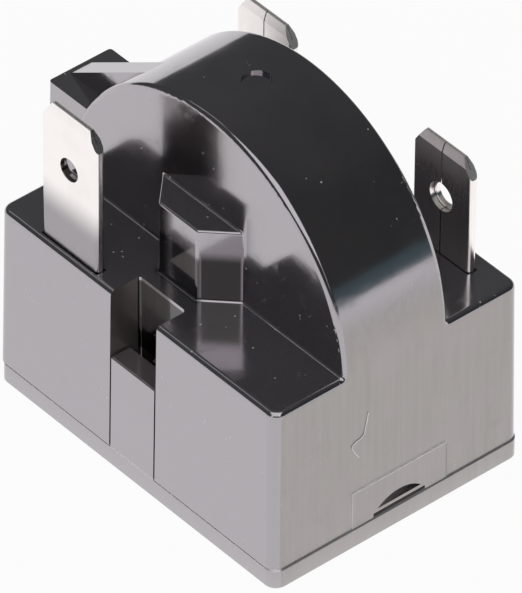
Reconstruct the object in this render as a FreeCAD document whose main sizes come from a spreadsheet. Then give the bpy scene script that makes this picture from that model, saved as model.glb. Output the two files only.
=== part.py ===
import FreeCAD, Part
import math
import os
import re

import Sketcher

# A compressor start relay: a moulded housing with a half-round dome over a ceramic start
# resistor, a snap-in base cover, two strip terminals with folded blade tabs, and two rolled
# sockets that slide over the pins of the compressor.
# +X runs along the slotted front wall, +Y from the front to the rear, +Z up. The origin is
# the middle of the underside of the base cover.

SIZES = {
    # Housing walls, measured at the joint between the housing and the base cover.
    "body_width": 31.7,
    "body_depth": 24.0,
    "ledge_height": 16.7,
    "side_draft": 0.75,
    "corner_radius": 1.0,
    "edge_radius": 0.45,
    "foot_radius": 0.2,
    "wall_thickness": 1.2,
    "roof_thickness": 1.5,
    # Half-round dome over the ceramic disc.
    "dome_center_height": 16.1,
    "dome_front": 5.2,
    "dome_rear": 4.8,
    "dome_wall": 1.4,
    # Slot in the front wall.
    "slot_center": -0.2,
    "slot_width": 5.2,
    "slot_depth": 3.0,
    "slot_wall": 1.2,
    "slot_corner_radius": 0.25,
    # Tapered boss on the flat face of the dome.
    "boss_center": -0.2,
    "boss_rear_width": 9.1,
    "boss_front_width": 4.3,
    "boss_reach": 2.4,
    "boss_height": 6.55,
    "boss_edge_radius": 0.4,
    "boss_rim_radius": 0.2,
    # Locating lug down the left side.
    "lug_reach": 2.45,
    "lug_flare": 0.5,
    "lug_root": 2.8,
    "lug_front": 4.8,
    "lug_depth": 5.95,
    "lug_height": 6.6,
    "lug_radius": 0.28,
    # Web that rises from the lug and runs tangent into the dome.
    "web_front": 1.8,
    "web_thickness": 1.85,
    "web_inset": 0.3,
    "web_sink": 0.05,
    # Raised pad and release window over the latch, on the right side.
    "pad_center": 0.15,
    "pad_width": 9.2,
    "pad_height": 3.4,
    "pad_proud": 0.05,
    "window_width": 4.2,
    "window_rise": 0.8,
    "window_sill": 0.65,
    "window_depth": 0.8,
    "relief_width": 5.0,
    "relief_height": 0.35,
    # Round mould mark on top of the dome.
    "mark_diameter": 2.3,
    "mark_depth": 0.3,
    "mark_across": -0.6,
    "mark_back": 0.2,
    # Base cover.
    "cover_thickness": 2.0,
    "cover_shift": 0.15,
    "cover_edge": 0.3,
    "seam_groove": 0.12,
    "fit_clearance": 0.1,
    "lip_height": 1.0,
    "lip_thickness": 0.7,
    "tongue_height": 8.55,
    "tongue_thickness": 1.9,
    "tongue_clearance": 0.15,
    "tongue_edge": 0.15,
    "hook_reach": 0.55,
    "hook_rise": 1.6,
    "hook_drop": 1.2,
    "hook_inset": 0.9,
    "latch_width": 7.0,
    "latch_height": 6.0,
    "latch_thickness": 1.1,
    "saddle_left": 3.2,
    "saddle_right": 7.0,
    "saddle_thickness": 3.0,
    "pin_hole_diameter": 4.0,
    "pin_hole_lead": 0.6,
    # Folded blade tabs.
    "tab_width": 6.3,
    "sheet_thickness": 0.38,
    "fold_gap": 0.04,
    "fold_radius": 0.3,
    "seam_gap": 0.1,
    "tab_chamfer_width": 1.0,
    "tab_chamfer_height": 1.6,
    "tab_bevel": 0.24,
    "tab_bevel_height": 0.7,
    "tab_hole_diameter": 2.0,
    "flap_hole_diameter": 2.5,
    "tab_hole_drop": 4.9,
    "slit_clearance": 0.06,
    "front_tab_inset": 7.75,
    "front_tab_setback": 0.7,
    "front_tab_tip": 29.5,
    "rear_left_inset": 5.25,
    "rear_right_inset": 6.5,
    "rear_tab_setback": 1.7,
    "rear_tab_tip": 27.0,
    # Strips of the two terminals.
    "start_strip_width": 5.0,
    "strip_height": 3.05,
    "bend_radius": 0.3,
    "bus_height": 2.6,
    # Pin sockets, 12.7 mm apart, each as far in from its side wall.
    "socket_inset": 9.5,
    "socket_bore_diameter": 3.2,
    "socket_wall": 0.38,
    "socket_drop": 2.0,
    "socket_gap": 0.4,
    "socket_slit": 0.6,
    "tail_width": 3.2,
    "tail_reach": 3.6,
    "clip_thickness": 0.4,
    "clip_rise": 1.6,
    "clip_clearance": 0.02,
    "clip_slit": 1.4,
    # Ceramic disc and the springs that hold it.
    "pill_diameter": 20.0,
    "pill_thickness": 3.2,
    "spring_thickness": 0.3,
    "spring_width": 5.0,
    "spring_span": 17.0,
    "spring_flat": 5.0,
    "spring_gap": 0.05,
    "arm_width": 3.0,
    "front_arm_inset": 8.25,
    "rear_arm_inset": 5.25,
    "foot_length": 3.4,
    # Rivets.
    "rivet_diameter": 1.4,
    "rivet_head_diameter": 2.4,
    "rivet_head_height": 0.35,
}

doc = FreeCAD.newDocument("start_relay")
sheet = doc.addObject("Spreadsheet::Sheet", "sheet")
for row, (alias, value) in enumerate(SIZES.items(), start=1):
    sheet.set(f"A{row}", alias)
    sheet.set(f"B{row}", str(value))
    sheet.setAlias(f"B{row}", alias)
doc.recompute()


def bound(formula):
    """Points each size named in a formula to its cell in the sheet."""
    return re.sub(r"[a-z]\w*", lambda m: f"sheet.{m[0]}" if m[0] in SIZES else m[0], formula)


def size(alias):
    return float(getattr(sheet, alias))


def new_body(label):
    body = doc.addObject("PartDesign::Body", label)
    body.Label = label
    return body


def new_sketch(body, name, plane, offset="0"):
    """A sketch on one of the body's own planes, moved along the plane's normal by offset."""
    sketch = body.newObject("Sketcher::SketchObject", f"{body.Label}_{name}")
    support = next(item for item in body.Origin.OriginFeatures if item.Role == plane)
    sketch.AttachmentSupport = [(support, "")]
    sketch.MapMode = "FlatFace"
    sketch.setExpression("AttachmentOffset.Base.z", bound(offset))
    return sketch


def fix_point(sketch, edge, point, across, up):
    """Holds one point of the sketch at its distances from the sketch's origin."""
    here = sketch.getPoint(edge, point)
    for kind, start, formula in (("DistanceX", here.x, across), ("DistanceY", here.y, up)):
        index = sketch.addConstraint(Sketcher.Constraint(kind, -1, 1, edge, point, start))
        sketch.setExpression(f"Constraints[{index}]", bound(formula))


def outline(sketch, corners):
    """A closed outline of straight lines; each corner is a pair of formulas."""
    first = sketch.GeometryCount
    count = len(corners)
    ring = [
        FreeCAD.Vector(10 * math.cos(math.tau * i / count), 10 * math.sin(math.tau * i / count), 0)
        for i in range(count)
    ]
    for i in range(count):
        sketch.addGeometry(Part.LineSegment(ring[i], ring[(i + 1) % count]))
    for i in range(count):
        after = first + (i + 1) % count
        sketch.addConstraint(Sketcher.Constraint("Coincident", first + i, 2, after, 1))
    for i, (across, up) in enumerate(corners):
        fix_point(sketch, first + i, 1, across, up)


def rectangle(sketch, left, right, low, high):
    outline(sketch, [(left, low), (right, low), (right, high), (left, high)])


def circle(sketch, across, up, radius):
    index = sketch.addGeometry(Part.Circle(FreeCAD.Vector(1, 1, 0), FreeCAD.Vector(0, 0, 1), 2))
    fix_point(sketch, index, 3, across, up)
    number = sketch.addConstraint(Sketcher.Constraint("Radius", index, 2))
    sketch.setExpression(f"Constraints[{number}]", bound(radius))


def extrude(body, kind, name, sketch, length, reverse=False, middle=False):
    """A Pad or a Pocket of a sketch, checked to have added or removed material."""
    before = body.Shape.Volume if body.Tip else 0.0
    feature = body.newObject(f"PartDesign::{kind}", f"{body.Label}_{name}")
    feature.Profile = sketch
    feature.setExpression("Length", bound(length))
    feature.Reversed = reverse
    feature.Midplane = middle
    sketch.Visibility = False
    doc.recompute()
    gained = body.Shape.Volume - before
    if (kind == "Pad" and gained <= 1e-6) or (kind == "Pocket" and gained >= -1e-6):
        raise RuntimeError(f"{feature.Name} changes nothing")
    return feature


def pad(body, name, sketch, length, reverse=False, middle=False):
    return extrude(body, "Pad", name, sketch, length, reverse, middle)


def pocket(body, name, sketch, length, reverse=False, middle=False):
    return extrude(body, "Pocket", name, sketch, length, reverse, middle)


def edges_where(body, test):
    """Names of the edges of a body's tip whose middle point and direction pass the test."""
    names = []
    for number, edge in enumerate(body.Shape.Edges, start=1):
        low, high = edge.ParameterRange
        middle = edge.valueAt((low + high) / 2)
        span = edge.Vertexes[-1].Point - edge.Vertexes[0].Point
        if test(middle, span, edge):
            names.append(f"Edge{number}")
    if not names:
        raise RuntimeError(f"no edges found on {body.Label}")
    return names


def round_edges(body, name, radius, test):
    fillet = body.newObject("PartDesign::Fillet", f"{body.Label}_{name}")
    fillet.Base = (body_before(body, fillet), edges_where(body, test))
    fillet.setExpression("Radius", bound(radius))
    doc.recompute()
    return fillet


def chamfer_edges(body, name, width, test):
    chamfer = body.newObject("PartDesign::Chamfer", f"{body.Label}_{name}")
    chamfer.Base = (body_before(body, chamfer), edges_where(body, test))
    chamfer.setExpression("Size", bound(width))
    doc.recompute()
    return chamfer


def body_before(body, feature):
    """The feature that a new dress-up feature works on."""
    solids = [item for item in body.Group if item.isDerivedFrom("PartDesign::Feature")]
    return solids[solids.index(feature) - 1]


# Places that several sub-parts share, as formulas of the sizes.
ROOF_LOW = "(ledge_height - roof_thickness)"
FRONT_WALL = "(body_depth / 2)"
INNER_X = "(body_width / 2 - wall_thickness)"
INNER_Y = "(body_depth / 2 - wall_thickness)"
DOME_RADIUS = (
    "((body_width / 2 - (dome_center_height - cover_thickness) * tan(side_draft))"
    " * cos(side_draft))"
)
DOME_TOP = f"(dome_center_height + {DOME_RADIUS})"
SLOT_FLOOR = "(body_depth / 2 - slot_depth)"
SLOT_LEFT = "(slot_center - slot_width / 2)"
SLOT_RIGHT = "(slot_center + slot_width / 2)"
HOOK_TOP = "(cover_thickness + tongue_height - hook_drop)"
HOOK_LOW = f"({HOOK_TOP} - hook_rise)"
BLADE = "(2 * sheet_thickness + fold_gap)"
BLADE_LOW = f"({ROOF_LOW} + fit_clearance)"
FRONT_FACE = "(body_depth / 2 - front_tab_setback)"
REAR_FACE = "(body_depth / 2 - rear_tab_setback)"
BUS_FACE = f"({REAR_FACE} - sheet_thickness)"
BUS_TOP = f"({ROOF_LOW} - 2 * fit_clearance)"
BUS_LOW = f"({BUS_TOP} - bus_height)"
FRONT_TAB_X = "(front_tab_inset - body_width / 2)"
LEFT_TAB_X = "(rear_left_inset - body_width / 2)"
RIGHT_TAB_X = "(body_width / 2 - rear_right_inset)"
FRONT_ARM_X = "(front_arm_inset - body_width / 2)"
REAR_ARM_X = "(body_width / 2 - rear_arm_inset)"
STRIP_TOP = "(strip_height + sheet_thickness)"
SOCKET_X = "(body_width / 2 - socket_inset)"
SOCKET_RADIUS = "(socket_bore_diameter / 2 + socket_wall)"
SOCKET_Y = f"({BUS_FACE} - {SOCKET_RADIUS})"
SOCKET_LOW = "(cover_thickness + socket_gap)"
SOCKET_LENGTH = f"({BUS_LOW} - socket_drop - {SOCKET_LOW})"
CLIP_HEIGHT = f"({SOCKET_LENGTH} / 2)"
PILL_Y = "((dome_rear - dome_front) / 2)"
CLIP_LOW = f"({SOCKET_LOW} + clip_rise)"
SOCKET_RIVET_Y = f"({SOCKET_Y} - {SOCKET_RADIUS} - tail_reach / 2)"
SPRING_RIVET_Y = "(-(dome_front - dome_wall - spring_gap) + foot_length / 2 + spring_thickness)"
BUS_RIVET_Z = f"({BUS_LOW} + bus_height / 2)"


def wall_y(height):
    """Half the depth of the housing at a height, with the draft of its walls."""
    return f"(body_depth / 2 - ({height} - cover_thickness) * tan(side_draft))"


def make_housing():
    body = new_body("housing")
    # The silhouette from the front: drafted sides that run tangent into the half-round top.
    front = new_sketch(body, "silhouette", "XZ_Plane")
    low = [("-body_width / 2", "cover_thickness"), ("body_width / 2", "cover_thickness")]
    tangent_x = f"{DOME_RADIUS} * cos(side_draft)"
    tangent_z = f"dome_center_height + {DOME_RADIUS} * sin(side_draft)"
    middle = FreeCAD.Vector(0, 12, 0)
    places = [
        FreeCAD.Vector(-12, 0, 0),
        FreeCAD.Vector(12, 0, 0),
        FreeCAD.Vector(10, 12, 0),
        FreeCAD.Vector(-10, 12, 0),
    ]
    front.addGeometry(Part.LineSegment(places[0], places[1]))
    front.addGeometry(Part.LineSegment(places[1], places[2]))
    bow = Part.Circle(middle, FreeCAD.Vector(0, 0, 1), 10)
    front.addGeometry(Part.ArcOfCircle(bow, 0, math.pi))
    front.addGeometry(Part.LineSegment(places[3], places[0]))
    for line in range(4):
        front.addConstraint(Sketcher.Constraint("Coincident", line, 2, (line + 1) % 4, 1))
    fix_point(front, 0, 1, *low[0])
    fix_point(front, 1, 1, *low[1])
    fix_point(front, 2, 1, tangent_x, tangent_z)
    fix_point(front, 3, 1, f"-{tangent_x}", tangent_z)
    level = front.addConstraint(Sketcher.Constraint("DistanceY", -1, 1, 2, 3, 12))
    front.setExpression(f"Constraints[{level}]", bound("dome_center_height"))
    pad(body, "block", front, "body_depth", middle=True)
    # Both ledges and the drafted front and rear walls are cut away in one pass.
    side = new_sketch(body, "ledges", "YZ_Plane")
    above = f"{DOME_TOP} + 1"
    for sign, dome in (("-", "dome_front"), ("", "dome_rear")):
        outline(side, [
            (f"{sign}(body_depth / 2 + 1)", "cover_thickness"),
            (f"{sign}body_depth / 2", "cover_thickness"),
            (f"{sign}{wall_y('ledge_height')}", "ledge_height"),
            (f"{sign}{dome}", "ledge_height"),
            (f"{sign}{dome}", above),
            (f"{sign}(body_depth / 2 + 1)", above),
        ])
    pocket(body, "ledges_cut", side, "body_width + 2", middle=True)
    ledge = size("ledge_height")
    round_edges(body, "dome_feet", "foot_radius", lambda p, d, e: (
        abs(p.z - ledge) < 0.01
        and (abs(p.y - size("dome_rear")) < 0.01 or abs(p.y + size("dome_front")) < 0.01)
    ))
    round_edges(body, "corners", "corner_radius", lambda p, d, e: (
        abs(p.y) > size("body_depth") / 2 - 1
        and abs(p.x) > size("body_width") / 2 - 1
        and abs(d.z) > 5
    ))
    round_edges(body, "rims", "edge_radius", lambda p, d, e: (
        (abs(p.z - ledge) < 0.01 and (abs(p.x) > 1 or abs(p.y) > size("body_depth") / 2 - 1))
        or p.z > ledge + 5
    ))
    return body


def add_lug(body):
    """The locating lug down the left side, and the web between it and the dome."""
    plan = new_sketch(body, "lug_plan", "XY_Plane", "cover_thickness")
    outer = "-(body_width / 2 + lug_reach + lug_flare)"
    inner = "-(body_width / 2 - lug_root)"
    rectangle(plan, outer, inner, "-lug_front", "lug_depth - lug_front")
    pad(body, "lug", plan, "ledge_height + lug_height - cover_thickness")
    wedge = new_sketch(body, "lug_draft", "XZ_Plane")
    outline(wedge, [
        (outer, "cover_thickness"),
        ("-(body_width / 2 + lug_reach)", "ledge_height + lug_height"),
        (f"{outer} - 1", "ledge_height + lug_height"),
        (f"{outer} - 1", "cover_thickness"),
    ])
    pocket(body, "lug_drafted", wedge, "body_depth", middle=True)
    left = -size("body_width") / 2
    round_edges(body, "lug_round", "lug_radius", lambda p, d, e: (
        p.x < left - 0.5 and abs(d.z) > 5
    ))
    # The web stands on the lug; its top slopes up and meets the dome nearly tangent.
    web = new_sketch(body, "lug_web", "XZ_Plane", "lug_front - web_front - web_thickness")
    top = "(ledge_height + lug_height)"
    reach = "(body_width / 2 + lug_reach - web_inset)"
    rise = f"({top} - dome_center_height)"
    radius = f"({DOME_RADIUS} - web_sink)"
    slope = f"(asin({radius} / sqrt({reach} ^ 2 + {rise} ^ 2)) - atan({rise} / {reach}))"
    outline(web, [
        (f"-{reach}", top),
        (f"-{radius} * sin{slope}", f"dome_center_height + {radius} * cos{slope}"),
        (f"-{radius} * sin{slope}", top),
    ])
    pad(body, "lug_web_pad", web, "web_thickness")


def add_boss(body):
    """The tapered boss that stands on the front ledge against the dome."""
    plan = new_sketch(body, "boss_plan", "XY_Plane", "ledge_height")
    root = "-(dome_front - 0.4)"
    front = "-(dome_front + boss_reach)"
    rear_half = "boss_rear_width / 2"
    front_half = "boss_front_width / 2"
    outline(plan, [
        (f"boss_center - {rear_half}", root),
        (f"boss_center - {rear_half}", "-dome_front"),
        (f"boss_center - {front_half}", front),
        (f"boss_center + {front_half}", front),
        (f"boss_center + {rear_half}", "-dome_front"),
        (f"boss_center + {rear_half}", root),
    ])
    pad(body, "boss", plan, "boss_height")
    top = size("ledge_height") + size("boss_height")
    reach = -size("dome_front") - size("boss_reach")
    round_edges(body, "boss_round", "boss_edge_radius", lambda p, d, e: (
        abs(p.y - reach) < 0.01 and abs(p.z - top / 2 - size("ledge_height") / 2) < 0.01
    ))
    round_edges(body, "boss_rim", "boss_rim_radius", lambda p, d, e: (
        abs(p.z - top) < 0.01 and p.y < -size("dome_front") - 0.05
    ))
    round_edges(body, "boss_root", "foot_radius", lambda p, d, e: (
        abs(p.z - top) < 0.01 and abs(p.y + size("dome_front")) < 0.01
    ))


def add_slot(body):
    plan = new_sketch(body, "slot_plan", "XY_Plane", "ledge_height")
    rectangle(plan, SLOT_LEFT, SLOT_RIGHT, f"-{FRONT_WALL} - 1", f"-{SLOT_FLOOR}")
    pocket(body, "slot", plan, "ledge_height - cover_thickness")
    back = size("slot_depth") - size("body_depth") / 2
    round_edges(body, "slot_corners", "slot_corner_radius", lambda p, d, e: (
        abs(p.y - back) < 0.01 and abs(d.z) > 5
        and abs(p.x - size("slot_center")) < size("slot_width") / 2 + 0.01
    ))


def add_latch_side(body):
    """The raised pad on the right wall with the release window and the gap beneath it."""
    plan = new_sketch(body, "pad_plan", "YZ_Plane", "body_width / 2 - 0.6")
    rectangle(
        plan,
        "pad_center - pad_width / 2",
        "pad_center + pad_width / 2",
        "cover_thickness",
        "cover_thickness + pad_height",
    )
    pad(body, "pad", plan, "0.6 + pad_proud")
    moon = new_sketch(body, "window", "YZ_Plane", "body_width / 2 + pad_proud")
    chord = "cover_thickness + window_sill"
    radius = "(window_width * window_width / 4 + window_rise * window_rise) / (2 * window_rise)"
    moon.addGeometry(Part.LineSegment(FreeCAD.Vector(-2, 3, 0), FreeCAD.Vector(2, 3, 0)))
    bow = Part.Circle(FreeCAD.Vector(0, 1, 0), FreeCAD.Vector(0, 0, 1), math.sqrt(8))
    moon.addGeometry(Part.ArcOfCircle(bow, math.pi / 4, 3 * math.pi / 4))
    moon.addConstraint(Sketcher.Constraint("Coincident", 0, 2, 1, 1))
    moon.addConstraint(Sketcher.Constraint("Coincident", 1, 2, 0, 1))
    fix_point(moon, 0, 1, "pad_center - window_width / 2", chord)
    fix_point(moon, 0, 2, "pad_center + window_width / 2", chord)
    level = moon.addConstraint(Sketcher.Constraint("DistanceY", -1, 1, 1, 3, 1))
    moon.setExpression(f"Constraints[{level}]", bound(f"{chord} + window_rise - {radius}"))
    pocket(body, "window_cut", moon, "window_depth")
    gap = new_sketch(body, "relief", "YZ_Plane", "body_width / 2 + pad_proud")
    rectangle(
        gap,
        "pad_center - relief_width / 2",
        "pad_center + relief_width / 2",
        "cover_thickness",
        "cover_thickness + relief_height",
    )
    pocket(body, "relief_cut", gap, "window_depth")


def add_mold_mark(body):
    top = new_sketch(body, "mark_plan", "XY_Plane", DOME_TOP)
    circle(top, "mark_across", "mark_back", "mark_diameter / 2")
    pocket(body, "mark", top, "mark_depth")


def hollow(body):
    """The space under the ledges, kept clear of the slot, and the half-round dome space."""
    plan = new_sketch(body, "inside", "XY_Plane", "cover_thickness")
    left = f"{SLOT_LEFT} - slot_wall"
    right = f"{SLOT_RIGHT} + slot_wall"
    behind = f"-({SLOT_FLOOR} - slot_wall)"
    outline(plan, [
        (f"-{INNER_X}", f"-{INNER_Y}"),
        (left, f"-{INNER_Y}"),
        (left, behind),
        (right, behind),
        (right, f"-{INNER_Y}"),
        (INNER_X, f"-{INNER_Y}"),
        (INNER_X, INNER_Y),
        (f"-{INNER_X}", INNER_Y),
    ])
    pocket(body, "inside_cut", plan, f"{ROOF_LOW} - cover_thickness", reverse=True)
    dome = new_sketch(body, "dome_inside", "XZ_Plane", "dome_front - dome_wall")
    circle(dome, "0", "dome_center_height", f"{DOME_RADIUS} - dome_wall")
    pocket(body, "dome_cut", dome, "dome_front + dome_rear - 2 * dome_wall")


def slit(body, name, center, front, rear, depth):
    """One slit through a ledge, that a folded tab passes through."""
    plan = new_sketch(body, name, "XY_Plane", "ledge_height")
    rectangle(
        plan,
        f"{center} - tab_width / 2 - slit_clearance",
        f"{center} + tab_width / 2 + slit_clearance",
        f"{front} - slit_clearance",
        f"{rear} + slit_clearance",
    )
    pocket(body, f"{name}_cut", plan, depth)


def make_housing_inside(body):
    hollow(body)
    slit(body, "front_slit", FRONT_TAB_X, f"-{FRONT_FACE}", f"-{FRONT_FACE} + {BLADE}",
         "ledge_height - cover_thickness")
    for name, center in (("left_slit", LEFT_TAB_X), ("right_slit", RIGHT_TAB_X)):
        slit(body, name, center, f"{REAR_FACE} - {BLADE}", REAR_FACE, "roof_thickness + 0.1")
    # The tongue of the base cover hooks into this window in the slot's rear wall.
    keeper = new_sketch(body, "hook_window", "XZ_Plane", SLOT_FLOOR)
    rectangle(
        keeper,
        f"{SLOT_LEFT} + hook_inset - tongue_clearance",
        f"{SLOT_RIGHT} - hook_inset + tongue_clearance",
        f"{HOOK_LOW} - fit_clearance",
        f"{HOOK_TOP} + fit_clearance",
    )
    pocket(body, "hook_window_cut", keeper, "slot_wall")


def make_cover():
    body = new_body("base_cover")
    plan = new_sketch(body, "plate", "XY_Plane")
    rectangle(
        plan,
        "cover_shift - body_width / 2",
        "cover_shift + body_width / 2",
        "-body_depth / 2",
        "body_depth / 2",
    )
    pad(body, "plate_pad", plan, "cover_thickness")
    round_edges(body, "corners", "corner_radius", lambda p, d, e: abs(d.z) > 1)
    chamfer_edges(body, "underside", "cover_edge", lambda p, d, e: abs(p.z) < 0.01)
    top = size("cover_thickness")
    chamfer_edges(body, "seam", "seam_groove", lambda p, d, e: abs(p.z - top) < 0.01)
    # The lip locates the cover inside the walls and stops beside the slot.
    lip = new_sketch(body, "lip", "XY_Plane", "cover_thickness")
    across = f"({INNER_X} - fit_clearance)"
    back = f"({INNER_Y} - fit_clearance)"
    rectangle(lip, f"-{across}", across, f"-{back}", back)
    rectangle(
        lip,
        f"-({across} - lip_thickness)",
        f"{across} - lip_thickness",
        f"-({back} - lip_thickness)",
        f"{back} - lip_thickness",
    )
    pad(body, "lip_pad", lip, "lip_height")
    gap = new_sketch(body, "lip_gap", "XY_Plane", "cover_thickness + lip_height")
    rectangle(
        gap,
        f"{SLOT_LEFT} - slot_wall - fit_clearance",
        f"{SLOT_RIGHT} + slot_wall + fit_clearance",
        f"-{FRONT_WALL}",
        f"-({back} - lip_thickness) + 0.2",
    )
    pocket(body, "lip_gap_cut", gap, "lip_height")
    # The tongue stands in the slot, flush with the drafted front wall.
    side = new_sketch(body, "tongue", "YZ_Plane", "slot_center")
    crown = "cover_thickness + tongue_height"
    rear = f"-({FRONT_WALL} - tongue_thickness)"
    outline(side, [
        (f"-{FRONT_WALL}", "cover_thickness - seam_groove"),
        (f"-{wall_y('(cover_thickness + tongue_height)')}", crown),
        (rear, crown),
        (rear, "cover_thickness - seam_groove"),
    ])
    pad(body, "tongue_pad", side, "slot_width - 2 * tongue_clearance", middle=True)
    peak = size("cover_thickness") + size("tongue_height")
    round_edges(body, "tongue_round", "tongue_edge", lambda p, d, e: (
        abs(p.z - peak) < 0.01 and abs(d.x) > 1 and p.y < size("tongue_thickness")
        - size("body_depth") / 2 - 0.2
    ))
    hook = new_sketch(body, "hook", "YZ_Plane", "slot_center")
    tip = f"-({SLOT_FLOOR} - hook_reach)"
    outline(hook, [
        (f"{rear} - 0.2", HOOK_LOW),
        (tip, HOOK_LOW),
        (tip, f"{HOOK_LOW} + 0.3"),
        (f"{rear} - 0.2", HOOK_TOP),
    ])
    pad(body, "hook_pad", hook, "slot_width - 2 * hook_inset", middle=True)
    # The latch leg behind the right wall, with the bump that catches over the sill.
    leg = new_sketch(body, "latch", "XY_Plane", "cover_thickness")
    rectangle(
        leg,
        f"{across} - latch_thickness",
        across,
        "pad_center - latch_width / 2",
        "pad_center + latch_width / 2",
    )
    pad(body, "latch_pad", leg, "latch_height")
    # Holes that the pins of the compressor enter through, with a lead-in.
    for name, place in (("left", f"-{SOCKET_X}"), ("right", SOCKET_X)):
        hole = new_sketch(body, f"{name}_pin", "XY_Plane")
        circle(hole, place, SOCKET_Y, "pin_hole_diameter / 2")
        pocket(body, f"{name}_pin_cut", hole, "cover_thickness", reverse=True)
    chamfer_edges(body, "lead", "pin_hole_lead", lambda p, d, e: (
        abs(p.z) < 0.01 and abs(abs(p.x) - size("body_width") / 2 + size("socket_inset")) < 3
        and isinstance(e.Curve, Part.Circle)
    ))
    # The saddle that the ceramic disc rests in.
    rest = new_sketch(body, "saddle", "XZ_Plane", f"-{PILL_Y}")
    rectangle(rest, "-saddle_left", "saddle_right", "cover_thickness",
              "dome_center_height - pill_diameter / 2 + saddle_thickness")
    pad(body, "saddle_pad", rest, "pill_thickness", middle=True)
    cradle = new_sketch(body, "cradle", "XZ_Plane", f"-{PILL_Y}")
    circle(cradle, "0", "dome_center_height", "pill_diameter / 2 + fit_clearance")
    pocket(body, "cradle_cut", cradle, "pill_thickness + 0.2", middle=True)
    return body


def blade(body, name, center, face, side, tip):
    """One folded tab; side is where its flaps lie, '' for +Y and '-' for -Y of the sheet."""
    flat = f"({face} {side or '+'} {BLADE})"
    low, high = (face, flat) if side == "" else (flat, face)
    plan = new_sketch(body, f"{name}_plan", "XY_Plane", BLADE_LOW)
    left = f"{center} - tab_width / 2"
    right = f"{center} + tab_width / 2"
    rectangle(plan, left, right, low, high)
    pad(body, f"{name}_pad", plan, f"{tip} - {BLADE_LOW}")
    half = size("tab_width") / 2
    middle = plan.getPoint(0, 1).x + half
    bottom = size("ledge_height") - size("roof_thickness")
    round_edges(body, f"{name}_folds", "fold_radius", lambda p, d, e: (
        abs(abs(p.x - middle) - half) < 0.01 and abs(d.z) > 5 and p.z > bottom
    ))
    # The tip is bevelled across its thickness, then its corners are cut.
    nose = new_sketch(body, f"{name}_nose", "YZ_Plane", center)
    for near, way in ((low, "+"), (high, "-")):
        out = "-" if way == "+" else "+"
        outline(nose, [
            (f"{near} {out} 0.2", f"{tip} - tab_bevel_height"),
            (near, f"{tip} - tab_bevel_height"),
            (f"{near} {way} tab_bevel", tip),
            (f"{near} {way} tab_bevel", f"{tip} + 0.2"),
            (f"{near} {out} 0.2", f"{tip} + 0.2"),
        ])
    pocket(body, f"{name}_nose_cut", nose, "tab_width + 1", middle=True)
    corners = new_sketch(body, f"{name}_corners", "XZ_Plane", f"-({face})")
    for edge, way in ((left, "+"), (right, "-")):
        out = "-" if way == "+" else "+"
        outline(corners, [
            (f"{edge} {out} 0.3", f"{tip} - tab_chamfer_height"),
            (edge, f"{tip} - tab_chamfer_height"),
            (f"{edge} {way} tab_chamfer_width", tip),
            (f"{edge} {way} tab_chamfer_width", f"{tip} + 0.2"),
            (f"{edge} {out} 0.3", f"{tip} + 0.2"),
        ])
    pocket(body, f"{name}_corners_cut", corners, "3", middle=True)
    # The gap left inside the fold, and the seam where the two flaps meet.
    inner = f"({face} {side or '+'} sheet_thickness)"
    across = f"({inner} {side or '+'} fold_gap)"
    fold = new_sketch(body, f"{name}_fold", "XY_Plane", tip)
    rectangle(fold, f"{left} + sheet_thickness", f"{right} - sheet_thickness",
              *((inner, across) if side == "" else (across, inner)))
    pocket(body, f"{name}_fold_cut", fold, f"{tip} - {BLADE_LOW}")
    seam = new_sketch(body, f"{name}_seam", "XY_Plane", tip)
    beyond = f"({flat} {side or '+'} 0.1)"
    rectangle(seam, f"{center} - seam_gap / 2", f"{center} + seam_gap / 2",
              *((inner, beyond) if side == "" else (beyond, inner)))
    pocket(body, f"{name}_seam_cut", seam, f"{tip} - {BLADE_LOW}")
    # The detent hole, larger through the flaps than through the sheet.
    hole = new_sketch(body, f"{name}_hole", "XZ_Plane", f"-({face})")
    circle(hole, center, f"{tip} - tab_hole_drop", "tab_hole_diameter / 2")
    pocket(body, f"{name}_hole_cut", hole, "3", middle=True)
    wide = new_sketch(body, f"{name}_flap_hole", "XZ_Plane", f"-{inner}")
    circle(wide, center, f"{tip} - tab_hole_drop", "flap_hole_diameter / 2")
    pocket(body, f"{name}_flap_hole_cut", wide, "1", reverse=side == "-")


def rivet_hole(body, name, plane, across, up):
    """A hole for a rivet right through the sheet, square to the plane."""
    plan = new_sketch(body, f"{name}_spot", plane)
    circle(plan, across, up, "rivet_diameter / 2")
    length = "4 * strip_height" if plane == "XY_Plane" else "2 * body_depth"
    pocket(body, f"{name}_hole", plan, length, middle=True)


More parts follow.
